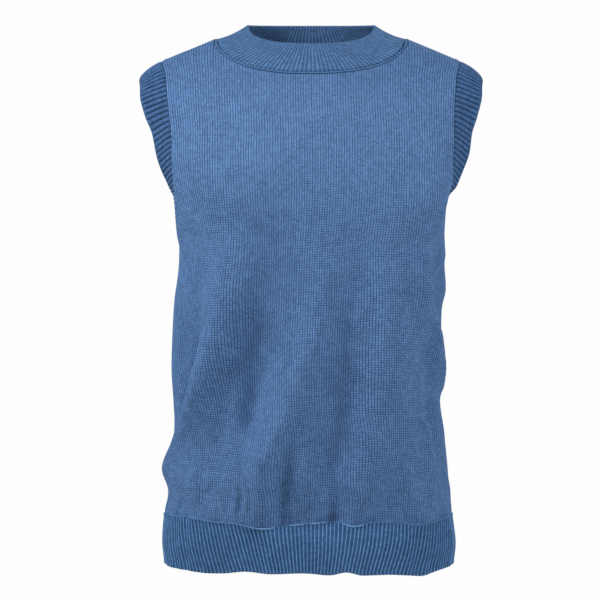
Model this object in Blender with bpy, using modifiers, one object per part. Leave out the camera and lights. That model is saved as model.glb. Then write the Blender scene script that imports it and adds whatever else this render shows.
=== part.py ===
"""Knitted sweater vest in the round: seven knitted pieces, each a closed wall, apart at their seams.

Frame: metres, +Z up. The front faces -Y and the wearer's left is +X. The origin lies midway between
the two high shoulder points, in the plane of the shoulder seams.
"""

import math
from collections import namedtuple

import bmesh
import bpy
import numpy as np

FRONT, BACK = -1, 1

# ---------------------------------------------------------------- driving dimensions
HEM_Z = -0.600  # lower edge of the hem rib
HEM_SEAM_Z = -0.545  # where the hem rib turns into plain knit
UNDERARM_Z = -0.240  # lowest point of each armhole
NECK_HALF = 0.111  # centre to high shoulder point
NECK_POINT_Z = 0.001  # height of the high shoulder point
SHOULDER_SLOPE = 0.42  # fall of the shoulder seam for each metre outwards
TIP_HALF = 0.1705  # centre to shoulder tip, where the armhole rib starts
TIP_Z = NECK_POINT_Z - SHOULDER_SLOPE * (TIP_HALF - NECK_HALF)
CREST_Z = 0.030  # shoulder line carried on to the centre, above the open neck
SHOULDER_ROUND = 0.140  # height over which the shoulder rounds into chest and back
NECK_DROP = {FRONT: 0.048, BACK: 0.013}  # neckline below the high shoulder point
NECK_POWER = 2.4  # 2 is an elliptical neckline, more is squarer
SECTION_POWER = 2 / 2.4  # 1 is an elliptical section, less is squarer
ARMHOLE_REACH = {FRONT: 0.062, BACK: 0.056}  # armhole seam from the shoulder plane, at its widest
ARMHOLE_WIDEST_Z = -0.130

JERSEY_WALL = 0.0020
RIB_WALL = 0.0028
RIB_PROUD = 0.0003  # outer face of a rib beyond the plain knit beside it
SEAM_HALF_GAP = 0.0005  # each panel from the plane of the side and shoulder seams, on the outer face
HEM_HALF_GAP = 0.0003  # plain knit and hem rib, each from the height where they join
BAND_GAP = 0.0010  # a band from the edge it is linked to, on the outer face
BAND_EASE = 0.35  # share of an armhole rib that still follows the panel it leaves

NECKBAND_HALF = 0.0735  # top edge of the neckband
NECKBAND_REACH = {FRONT: 0.052, BACK: 0.047}
NECKBAND_TOP_Z = {FRONT: -0.011, BACK: 0.022}
NECKBAND_SIDE_Z = 0.0170
NECKBAND_RISE = 1.2  # how late the top edge climbs towards the sides
NECKBAND_SINK = 0.005  # dip of the band's bend at the sides, where it lies on the shoulder
ARMHOLE_RIB_WIDTH = 0.0335

# ---------------------------------------------------------------- mesh counts
SHOULDER_COLUMNS = 6  # columns of a panel beyond each high shoulder point
NECK_COLUMNS = {FRONT: 24, BACK: 16}  # columns between the high shoulder points
SIDE_ROWS = 12  # rows from hem seam to underarm
CHEST_ROWS = 15  # rows from underarm to shoulder
ROW_CROWDING = 1.3  # above 1 the chest rows crowd towards the shoulder
BAND_ROWS = 3
FINE = 240  # samples on a line that is then stepped evenly
LEVELS = 80  # heights at which the columns are spaced
TOP_ROUNDS = 12  # rounds to find where a column meets its neckline

# Sections of the body, hem to shoulder tip. Sway is to the wearer's left, half width is at the side
# seam or the armhole seam, and the depths are from the plane of the side and shoulder seams.
Section = namedtuple("Section", "height sway half_width front_depth back_depth")
SECTIONS = tuple(Section(*row) for row in (
    (-0.602, -0.0025, 0.1655, 0.104, 0.094),
    (-0.576, -0.0025, 0.1680, 0.105, 0.095),
    (-0.541, -0.0030, 0.1643, 0.107, 0.096),
    (-0.520, -0.0020, 0.1618, 0.108, 0.096),
    (-0.497, -0.0045, 0.1619, 0.109, 0.096),
    (-0.457, -0.0020, 0.1556, 0.107, 0.092),
    (-0.414, -0.0050, 0.1533, 0.107, 0.089),
    (-0.375, -0.0055, 0.1546, 0.109, 0.088),
    (-0.299, -0.0035, 0.1535, 0.116, 0.092),
    (-0.250, -0.0020, 0.1488, 0.118, 0.096),
    (-0.200, 0.0004, 0.1496, 0.115, 0.099),
    (-0.160, 0.0012, 0.1526, 0.108, 0.099),
    (-0.120, 0.0012, 0.1566, 0.097, 0.096),
    (-0.070, 0.0000, 0.1625, 0.084, 0.089),
    (-0.043, 0.0000, 0.1655, 0.078, 0.084),
    (-0.024, 0.0000, 0.1705, 0.074, 0.080),
))

# Folds of the body. A fold runs from one place to another, each in degrees round from the centre
# front (the wearer's left positive) and height. A lift below 0 is a trough.
Fold = namedtuple("Fold", "from_degrees from_height to_degrees to_height half_width lift")
FOLDS = tuple(Fold(*row) for row in (
    (-36, -0.265, -82, -0.452, 0.010, 0.0050),
    (-52, -0.285, -96, -0.420, 0.016, -0.0060),
    (48, -0.262, 79, -0.362, 0.010, 0.0040),
    (64, -0.270, 98, -0.365, 0.015, -0.0055),
    (60, -0.205, 84, -0.250, 0.009, 0.0030),
    (0, -0.285, -16, -0.440, 0.016, 0.0025),
    (-10, -0.310, -26, -0.440, 0.018, -0.0030),
    (-12, -0.470, -18, -0.500, 0.012, 0.0030),
    (-8, -0.490, -14, -0.545, 0.009, -0.0035),
    (30, -0.485, 20, -0.535, 0.010, -0.0030),
    (-44, -0.500, -60, -0.525, 0.010, -0.0030),
    (146, -0.290, 170, -0.430, 0.018, -0.0040),
    (-150, -0.300, -172, -0.400, 0.016, 0.0035),
    (128, -0.460, 150, -0.535, 0.014, 0.0030),
))
GIRTH_PER_DEGREE = 0.0023

# Direction in which the armhole rib lies, by share of the way from shoulder tip to underarm. What
# the outward and upward parts leave of a unit length points to the seam plane.
Lie = namedtuple("Lie", "share outward upward")
ARMHOLE_LIE = tuple(Lie(*row) for row in (
    (0.00, 0.835, -0.550),
    (0.20, 0.910, -0.320),
    (0.30, 0.820, -0.300),
    (0.37, 0.680, -0.330),
    (0.45, 0.600, -0.360),
    (0.52, 0.460, -0.320),
    (0.60, 0.260, -0.220),
    (0.735, 0.040, 0.250),
    (0.87, -0.010, 0.720),
    (1.00, 0.020, 0.999),
))

JERSEY_BLUE = (0.075, 0.165, 0.375)
RIB_BLUE = (0.060, 0.140, 0.335)
KNIT_ROUGHNESS = 0.9


# ---------------------------------------------------------------- curves and steps
def smooth_column(rows, column, at):
    """Values of a named column of a table at places of its first column, on a monotone cubic."""
    places = np.array([row[0] for row in rows])
    values = np.array([getattr(row, column) for row in rows])
    steps = np.diff(places)
    slopes = np.diff(values) / steps
    before, after = slopes[:-1], slopes[1:]
    level = before * after <= 0
    tangents = np.zeros(len(values))
    tangents[1:-1] = np.where(level, 0, 2 * before * after / np.where(level, 1, before + after))
    at = np.clip(at, places[0], places[-1])
    i = np.clip(np.searchsorted(places, at, side="right") - 1, 0, len(steps) - 1)
    t = (at - places[i]) / steps[i]
    cubic = values[i] * (1 + 2 * t) * (1 - t) ** 2 + values[i + 1] * t * t * (3 - 2 * t)
    return cubic + steps[i] * t * (1 - t) * (tangents[i] * (1 - t) - tangents[i + 1] * t)


def shares_along(points):
    """Share of a sampled line's length at each of its points."""
    lengths = np.linalg.norm(np.diff(points, axis=0), axis=1)
    return np.concatenate([[0], np.cumsum(lengths)]) / lengths.sum()


def even_steps(points, shares):
    """Points at the given shares of the length of a finely sampled line."""
    along = shares_along(points)
    return np.column_stack([np.interp(shares, along, points[:, axis]) for axis in range(3)])


def unit(vectors):
    return vectors / np.linalg.norm(vectors, axis=-1, keepdims=True)


# ---------------------------------------------------------------- form of the body
def shoulder_line(x):
    """Height of the shoulder crest at a distance from the centre plane."""
    out = np.abs(x)
    over_neck = CREST_Z - (CREST_Z - NECK_POINT_Z) * (out / NECK_HALF) ** 2
    return np.where(out < NECK_HALF, over_neck, NECK_POINT_Z - SHOULDER_SLOPE * (out - NECK_HALF))


def top_line(side, x):
    """Height where a panel ends: its neckline, and the shoulder seam beyond it."""
    out = np.minimum(np.abs(x) / NECK_HALF, 1)
    neckline = NECK_POINT_Z - NECK_DROP[side] * np.sqrt(1 - out**NECK_POWER)
    return np.where(out < 1, neckline, shoulder_line(x))


def section(side, height):
    """Sway, half width, depth and the turn at which the section meets its side or armhole seam."""
    level = np.minimum(height, TIP_Z)
    sway = smooth_column(SECTIONS, "sway", level)
    seam_half = smooth_column(SECTIONS, "half_width", level)
    depth = smooth_column(SECTIONS, "front_depth" if side == FRONT else "back_depth", level)
    below = np.clip((ARMHOLE_WIDEST_Z - level) / (ARMHOLE_WIDEST_Z - UNDERARM_Z), 0, 1)
    seam_turn = np.arccos(ARMHOLE_REACH[side] * np.sqrt(1 - below**2) / depth)
    return sway, seam_half / np.sin(seam_turn) ** SECTION_POWER, depth, seam_turn


def body_point(side, turn, height):
    """Points of the outer face with no folds, turn radians round from the centre of the panel."""
    sway, half, depth, _ = section(side, height)
    x = half * np.sign(turn) * np.abs(np.sin(turn)) ** SECTION_POWER
    below = np.clip(shoulder_line(x) - height, 0, SHOULDER_ROUND) / SHOULDER_ROUND
    rounding = np.sqrt(1 - (1 - below) ** 2)
    y = side * (SEAM_HALF_GAP + depth * np.cos(turn) * rounding)
    return np.stack(np.broadcast_arrays(x + sway, y, height), axis=-1)


def fold_lift(side, turn, height):
    """How far the folds move points of the body outwards."""
    degrees = np.degrees(turn)
    if side == BACK:
        degrees = np.sign(degrees) * (180 - np.abs(degrees))
    places = np.stack(np.broadcast_arrays(degrees * GIRTH_PER_DEGREE, height), axis=-1)
    lift = 0
    for fold in FOLDS:
        start = np.array((fold.from_degrees * GIRTH_PER_DEGREE, fold.from_height))
        run = np.array((fold.to_degrees * GIRTH_PER_DEGREE, fold.to_height)) - start
        share = np.clip((places - start) @ run / (run @ run), 0, 1)
        away = np.linalg.norm(places - start - share[..., None] * run, axis=-1)
        lift = lift + fold.lift * np.exp(-((away / fold.half_width) ** 2))
    return lift


def knit_point(side, turn, height):
    """Points of the outer face, folds included."""
    nudge = 0.002
    here = body_point(side, turn, height)
    across = body_point(side, turn + nudge, height) - body_point(side, turn - nudge, height)
    up = here - body_point(side, turn, height - nudge)
    outward = unit(np.cross(across, up) * -side)
    return here + outward * fold_lift(side, turn, height)[..., None]


def turns_at(side, shares, height):
    """Turns at shares, -1 to 1, of the way round the section at one height, along the cloth."""
    level = min(height, TIP_Z)
    turns = np.linspace(0, section(side, level)[3], FINE)
    along = shares_along(body_point(side, turns, level))
    return np.sign(shares) * np.interp(np.abs(shares), along, turns)


def neck_share(side):
    """Share of the way round at which a column ends on the high shoulder point."""
    shares = np.linspace(0, 1, FINE)
    reaches = body_point(side, turns_at(side, shares, TIP_Z), TIP_Z)[:, 0]
    return float(np.interp(NECK_HALF, reaches, shares))


def column_shares(side):
    """Shares of a panel's columns: some beyond each high shoulder point, the others between them."""
    corner = neck_share(side)
    outer = np.linspace(corner, 1, SHOULDER_COLUMNS + 1)
    inner = corner * np.sin(np.linspace(-math.pi / 2, math.pi / 2, NECK_COLUMNS[side] + 1))
    return np.concatenate([-outer[:0:-1], inner, outer[1:]])


def panel_points(side):
    """Outer face of a body panel as columns of points, wearer's right to left, hem to top."""
    shares = column_shares(side)
    side_heights = np.linspace(HEM_SEAM_Z + HEM_HALF_GAP, UNDERARM_Z, SIDE_ROWS + 1)
    levels = np.linspace(UNDERARM_Z, TIP_Z, LEVELS)
    turn_table = np.array([turns_at(side, shares, level) for level in levels])
    upward = 1 - (1 - np.linspace(0, 1, CHEST_ROWS + 1)) ** ROW_CROWDING
    columns = []
    for share, turns in zip(shares, turn_table.T):
        side_turns = np.array([turns_at(side, share, z) for z in side_heights])
        top = TIP_Z
        for _ in range(TOP_ROUNDS):
            top = top_line(side, body_point(side, np.interp(top, levels, turns), top)[0])
        crowded = 1 - (1 - np.linspace(0, 1, FINE)) ** 2
        heights = UNDERARM_Z + (top - UNDERARM_Z) * crowded
        chest = knit_point(side, np.interp(heights, levels, turns), heights)
        lower = knit_point(side, side_turns, side_heights)
        columns.append(np.concatenate([lower, even_steps(chest, upward)[1:]]))
    return np.array(columns)


# ---------------------------------------------------------------- bands, from the panels' own edges
def beyond(edge, inside):
    """Direction in which each panel goes on past its edge, square to the edge."""
    along = unit(np.gradient(edge, axis=0))
    inward = inside - edge
    return -unit(inward - (inward * along).sum(axis=1, keepdims=True) * along)


def joined(front, back):
    """A closed loop from a front line and a back line that share both end places."""
    ends = (front[[0, -1]] + back[[0, -1]]) / 2
    return np.concatenate([ends[:1], front[1:-1], ends[1:], back[-2:0:-1], ends[:1]])


def band_columns(seam, bend, edge):
    """Points across a band, which leaves its seam towards its bend and curves to its free edge."""
    seam = seam + unit(bend - seam) * BAND_GAP
    shares = np.linspace(0, 1, BAND_ROWS + 1)
    rows = [seam * (1 - t) ** 2 + bend * 2 * t * (1 - t) + edge * t * t for t in shares]
    return np.array(rows).transpose(1, 0, 2)


def neckband_points(front, back):
    """Outer face of the neckband, from its seam to its top edge, wearer's right round the front."""
    seam = joined(*(panel[SHOULDER_COLUMNS:-SHOULDER_COLUMNS, -1] for panel in (front, back)))
    angles = np.arctan2(seam[:, 0] / NECK_HALF, -seam[:, 1] / NECKBAND_REACH[FRONT])
    in_front = np.cos(angles) > 0
    reach = np.where(in_front, NECKBAND_REACH[FRONT], NECKBAND_REACH[BACK])
    middle_z = np.where(in_front, NECKBAND_TOP_Z[FRONT], NECKBAND_TOP_Z[BACK])
    climb = (1 - np.abs(np.cos(angles))) ** NECKBAND_RISE
    top_z = middle_z + (NECKBAND_SIDE_Z - middle_z) * climb
    edge = np.stack([NECKBAND_HALF * np.sin(angles), -reach * np.cos(angles), top_z], axis=-1)
    bend = (seam + edge) / 2
    bend[:, 2] -= NECKBAND_SINK * climb
    return band_columns(seam, bend, edge)


def armhole_rib_points(front, back, hand):
    """Outer face of an armhole rib, hand +1 for the wearer's left and -1 for the right."""
    edge_column = -1 if hand > 0 else 0
    seams, onwards = [], []
    for panel in (front, back):
        seam = panel[edge_column, SIDE_ROWS:][::-1]
        seams.append(seam)
        onwards.append(beyond(seam, panel[edge_column - hand, SIDE_ROWS:][::-1]))
    lies = []
    for side, seam in zip((FRONT, BACK), seams):
        share = shares_along(seam)
        outward = smooth_column(ARMHOLE_LIE, "outward", share)
        upward = smooth_column(ARMHOLE_LIE, "upward", share)
        inward = np.sqrt(np.maximum(0, 1 - outward**2 - upward**2))
        lies.append(np.stack([hand * outward, -side * inward, upward], axis=-1))
    seam = joined(*seams)
    edge = seam + unit(joined(*lies)) * ARMHOLE_RIB_WIDTH
    bend = seam + unit(joined(*onwards)) * ARMHOLE_RIB_WIDTH * BAND_EASE
    return band_columns(seam, bend, edge)[::hand]


def hem_rib_points(side):
    """Outer face of one hem rib, a little proud of the plain knit above it."""
    shares = column_shares(side)
    rows = []
    for z in np.linspace(HEM_Z, HEM_SEAM_Z - HEM_HALF_GAP, BAND_ROWS + 1):
        turns = turns_at(side, shares, z)
        outward = np.stack([np.sin(turns), side * np.cos(turns), 0 * turns], axis=-1)
        rows.append(knit_point(side, turns, z) + outward * RIB_PROUD)
    return np.array(rows).transpose(1, 0, 2)


# ---------------------------------------------------------------- meshes
def knit_material(name, colour):
    material = bpy.data.materials.new(name)
    material.use_nodes = True
    shader = material.node_tree.nodes["Principled BSDF"]
    shader.inputs["Base Color"].default_value = (*colour, 1)
    shader.inputs["Roughness"].default_value = KNIT_ROUGHNESS
    shader.inputs["Metallic"].default_value = 0
    return material


def shell(name, points, wall, collection, colour, ring=False):
    """A wall on the outer face given as points[across][up], closed round on itself for a ring."""
    across, up = points.shape[0] - 1, points.shape[1] - 1
    bm = bmesh.new()
    bmesh.ops.create_grid(bm, x_segments=across, y_segments=up, size=0.5)
    for vert in bm.verts:
        i = round((vert.co.x + 0.5) * across)
        j = round((vert.co.y + 0.5) * up)
        vert.co = points[i, j]
    if ring:
        bmesh.ops.remove_doubles(bm, verts=bm.verts, dist=1e-5)
    mesh = bpy.data.meshes.new(name)
    bm.to_mesh(mesh)
    bm.free()
    mesh.shade_smooth()
    obj = bpy.data.objects.new(name, mesh)
    collection.objects.link(obj)
    solidify = obj.modifiers.new("wall", "SOLIDIFY")
    solidify.thickness = wall
    solidify.offset = -1
    mesh.materials.append(knit_material(name + "_knit", colour))


# ---------------------------------------------------------------- the vest
def build():
    """Clears the scene and makes the seven pieces."""
    for obj in list(bpy.data.objects):
        bpy.data.objects.remove(obj, do_unlink=True)
    vest = bpy.data.collections.new("knitted_sweater_vest")
    bpy.context.scene.collection.children.link(vest)

    front, back = panel_points(FRONT), panel_points(BACK)
    shell("front_panel", front, JERSEY_WALL, vest, JERSEY_BLUE)
    shell("back_panel", back[::-1], JERSEY_WALL, vest, JERSEY_BLUE)
    shell("neckband", neckband_points(front, back), RIB_WALL, vest, RIB_BLUE, ring=True)
    for name, hand in (("armhole_rib_left", 1), ("armhole_rib_right", -1)):
        shell(name, armhole_rib_points(front, back, hand), RIB_WALL, vest, RIB_BLUE, ring=True)
    shell("hem_rib_front", hem_rib_points(FRONT), RIB_WALL, vest, RIB_BLUE)
    shell("hem_rib_back", hem_rib_points(BACK)[::-1], RIB_WALL, vest, RIB_BLUE)


build()
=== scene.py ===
"""Looks of a knitted sweater vest, hollow and as worn: plain knit body, ribbed neck, armholes and hem.

Metres, +Z up, front towards -Y, the wearer's left towards +X. Each piece is one closed wall of knitted
cloth on the form of its solid, with its ribs, stitch columns and creases in the mesh and its single
stitches in the material.
"""

import math
from collections import namedtuple

import bmesh
import bpy
import numpy as np
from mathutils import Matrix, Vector
from mathutils.kdtree import KDTree


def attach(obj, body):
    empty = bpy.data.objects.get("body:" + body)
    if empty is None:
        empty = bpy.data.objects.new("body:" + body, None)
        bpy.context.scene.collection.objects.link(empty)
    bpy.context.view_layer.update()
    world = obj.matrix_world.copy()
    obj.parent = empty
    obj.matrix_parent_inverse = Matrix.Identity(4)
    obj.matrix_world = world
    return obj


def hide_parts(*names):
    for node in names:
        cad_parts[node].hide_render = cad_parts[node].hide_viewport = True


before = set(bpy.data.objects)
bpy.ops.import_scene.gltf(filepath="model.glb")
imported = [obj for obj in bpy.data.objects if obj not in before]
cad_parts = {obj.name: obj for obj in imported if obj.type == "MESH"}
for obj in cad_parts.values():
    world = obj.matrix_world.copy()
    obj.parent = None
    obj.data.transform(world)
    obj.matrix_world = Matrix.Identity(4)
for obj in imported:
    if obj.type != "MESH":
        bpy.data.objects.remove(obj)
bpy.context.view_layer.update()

FRONT, BACK = -1, 1
RANDOM = np.random.default_rng(11)

# ---------------------------------------------------------------- form, as in the solids
HEM_Z = -0.600
HEM_SEAM_Z = -0.545
UNDERARM_Z = -0.240
UNDERARM_EASE = 0.15  # how gently the chest swells above the underarm
NECK_HALF = 0.111
NECK_POINT_Z = 0.001
SHOULDER_SLOPE = 0.42
TIP_HALF = 0.1705
TIP_Z = NECK_POINT_Z - SHOULDER_SLOPE * (TIP_HALF - NECK_HALF)
CREST_Z = 0.030
SHOULDER_ROUND = 0.140
NECK_DROP = {FRONT: 0.048, BACK: 0.013}
NECK_POWER = 2.4
SECTION_POWER = 2 / 2.4
ARMHOLE_REACH = {FRONT: 0.062, BACK: 0.056}
ARMHOLE_WIDEST_Z = -0.130
SEAM_HALF_GAP = 0.00004  # each panel from the plane of the side and shoulder seams
BAND_GAP = 0.0001  # a band from the edge it is linked to
EASE_SHARES = (0.0, 0.10, 0.22, 0.60, 1.0)  # places from the shoulder round to the underarm
ARMHOLE_EASE = (0.60, 0.50, 0.26, 0.14, 0.15)  # how far a rib runs straight on from the panel
ROLL_WIDTH = 0.0070  # an armhole rib's free edge rolls in over this width
ROLL_DEPTH = 0.0014
ROLL_SHARE = math.sqrt(0.96)  # how far round the roll goes
NECKBAND_HALF = 0.0735
NECKBAND_REACH = {FRONT: 0.052, BACK: 0.047}
NECKBAND_TOP_Z = {FRONT: -0.011, BACK: 0.022}
NECKBAND_SIDE_Z = 0.0170
NECKBAND_RISE = 1.2
NECKBAND_SINK = 0.005
ARMHOLE_RIB_WIDTH = 0.0335

Section = namedtuple("Section", "height sway half_width front_depth back_depth")
SECTIONS = tuple(Section(*row) for row in (
    (-0.602, -0.0025, 0.1655, 0.104, 0.094),
    (-0.576, -0.0025, 0.1680, 0.105, 0.095),
    (-0.541, -0.0030, 0.1643, 0.107, 0.096),
    (-0.520, -0.0020, 0.1618, 0.108, 0.096),
    (-0.497, -0.0045, 0.1619, 0.109, 0.096),
    (-0.457, -0.0020, 0.1556, 0.107, 0.092),
    (-0.414, -0.0050, 0.1533, 0.107, 0.089),
    (-0.375, -0.0055, 0.1546, 0.109, 0.088),
    (-0.299, -0.0035, 0.1535, 0.116, 0.092),
    (-0.250, -0.0020, 0.1488, 0.118, 0.096),
    (-0.200, 0.0004, 0.1496, 0.115, 0.099),
    (-0.160, 0.0012, 0.1526, 0.108, 0.099),
    (-0.120, 0.0012, 0.1566, 0.097, 0.096),
    (-0.070, 0.0000, 0.1625, 0.084, 0.089),
    (-0.043, 0.0000, 0.1655, 0.078, 0.084),
    (-0.024, 0.0000, 0.1705, 0.074, 0.080),
))

Lie = namedtuple("Lie", "share outward upward")
ARMHOLE_LIE = tuple(Lie(*row) for row in (
    (0.00, 0.800, -0.600),
    (0.20, 0.910, -0.320),
    (0.30, 0.820, -0.300),
    (0.37, 0.680, -0.330),
    (0.45, 0.600, -0.360),
    (0.52, 0.460, -0.320),
    (0.60, 0.260, -0.220),
    (0.735, 0.040, 0.250),
    (0.87, -0.010, 0.720),
    (1.00, 0.020, 0.999),
))

# ---------------------------------------------------------------- knit sizes
PANEL_WALES = {FRONT: 156, BACK: 146}  # stitch columns from side seam to side seam
ARMHOLE_WALES = {FRONT: 112, BACK: 106}  # and between the armholes
COURSE = 0.0027  # height of one row of stitches
NECK_RIBS = 112
ARMHOLE_RIBS = 86
HEM_RIBS = {FRONT: 96, BACK: 90}
WALE_DEPTH = 0.00022
NECK_RIB_DEPTH = 0.0005
ARMHOLE_RIB_DEPTH = 0.0019
HEM_RIB_DEPTH = 0.0007
WALE_SHARPNESS = 2.2  # 2 is a round ridge, more is flatter on top
NECK_RIB_SHARPNESS = 2.2
ARMHOLE_RIB_SHARPNESS = 3.2
HEM_CREST = 0.18  # half width of a hem rib's crest, in ribs
NECK_RIB_NARROWING = 1.35  # how much narrower than its pitch a rib's light crest is
HEM_RIB_NARROWING = 2.0
HEM_RIB_LEAN = 0.065  # how far the hem ribs lean towards the sides, as a share of the width
RIB_THROUGH = 0.8  # share of a rib's grooves that shows as ridges inside
JERSEY_WALL = 0.0016
RIB_WALL = 0.0022
NECKBAND_WALL = 0.0026
EDGE_ROLL = 0.0008  # width over which a panel's edge rolls in at a band or the shoulder seam
SIDE_ROLL = 0.0009
HEM_ROLL = 0.0004
EDGE_STEPS = np.array((0.0016, 0.0011, 0.0006, 0.0002, 0))  # last rows before a panel's top edges
Fade = namedtuple("Fade", "lowest start length")
Swell = namedtuple("Swell", "rise middle width")
WALE_FADE = Fade(0, 0, 0.002)  # stitch columns flatten out near an edge
WELT = Swell(0.0006, 0.0042, 0.0022)  # the panel beside an armhole rib, by distance from its edge
WELT_FADE = Fade(0, UNDERARM_Z + 0.020, 0.030)  # by height
CORD_WIDTH = 0.0028  # rolled cord along the foot of the neckband
CORD_RISE = 0.0009
CORD_FADE = Fade(0.15, 0.10, 0.30)  # lower towards the shoulders, by the cosine of its place round the neck
CORD_LIGHT = 0.28  # half width of its light crest, as a share of its width
GROOVE = Swell(-0.0020, CORD_WIDTH + 0.0005, 0.0007)  # between the cord and the neckband's ribs
# Painted shade covers the cord and this much past it.
GROOVE_SHADE = 0.0009
IN_GROOVE, ON_CORD, ON_RIDGE = 0.0, 0.24, 0.5  # phases of a rib, from groove to ridge
FOOT_STEPS = np.array((0, 0.2, 0.5, 0.9, 1.4, 1.9, 2.3, 2.6, 2.9, 3.2, 3.6, 4.3)) / 1000
NECKBAND_LENGTH = 0.040  # from foot to top edge
NECK_RIB_FOOT = Fade(0, CORD_WIDTH, 0.002)  # ribs rise above the cord and flatten near a free edge
NECK_RIB_EDGE = Fade(0.5, 0, 0.003)
ARMHOLE_RIB_EDGE = Fade(0.10, 0.0012, 0.0035)
HEM_RIB_TOP = Fade(0.6, 0, 0.08)  # by share of the rib's height
TIP_SHARE = 0.08  # share of an armhole's half that lies level with the shoulder tip
TUCK = 0.0006  # how deep an armhole rib's foot tucks in below its panel
TUCK_MORE_LOW = 0.0004
TUCK_FADE = Fade(0, 0, 0.004)
LOW_ARMHOLE = Fade(0, 0.5, 0.2)  # by share of the way from shoulder to underarm
HEM_PROUD = 0.0004  # a hem rib beyond the plain knit above it
HEM_SLACK = Swell(0.0007, 0.975, 0.022)  # just below the hem seam, by share of the rib's height
HEM_SEAM_LIGHT = 0.0014  # light line of stitches along the hem seam

# ---------------------------------------------------------------- mesh counts
COLUMNS_PER_WALE = 3
COLUMNS_PER_RIB = 8
COLUMNS_PER_BROAD_RIB = 10
SIDE_ROWS = 56
SIDE_ROW_SPACING = 0.85  # below 1 the rows spread towards the underarm
CUT_ROWS = 16
CHEST_ROWS = 20
NECKBAND_ROWS = 13
ARMHOLE_RIB_ROWS = 22
HEM_ROWS, HEM_ROWS_TO = 18, 0.9
HEM_LAST_ROWS = (0.93, 0.955, 0.975, 0.99, 1)
FINE = 240  # samples on a line that is then stepped evenly
TOP_ROUNDS = 12  # rounds to find where a column meets its neckline
RIM_STEPS = 5
RIM_COURSES = 0.3  # rows of stitches for each step round a free edge
EDGE_POINT_STEP = 0.0004
BAND_STRIPS, HEM_STRIPS = 4, 3  # strips of a band on its baking map
TINY = 1e-6
NECK_COLUMNS_BENT = 4  # columns bent towards each neck point
NECK_BEND = Fade(0, -0.12, 0.10)  # by height
CLOSE_ROWS = Fade(0, 0, 2.5)  # edge rows close up over these columns past the armhole
NUDGE_TURN, NUDGE_UP = 0.0024, 0.0006  # small moves that find which way the cloth faces
WELD = 5e-6

# ---------------------------------------------------------------- layout of the baking map
OUTER_BAKE = 0.8  # share of a panel's map for its outer face
OUTER_STRIP = 0.6  # share of a band's strips for its outer face
BAKE_HEIGHT = 0.600
BAKE_MARGIN = 0.004
STRIP_MARGIN = 0.01

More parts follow.
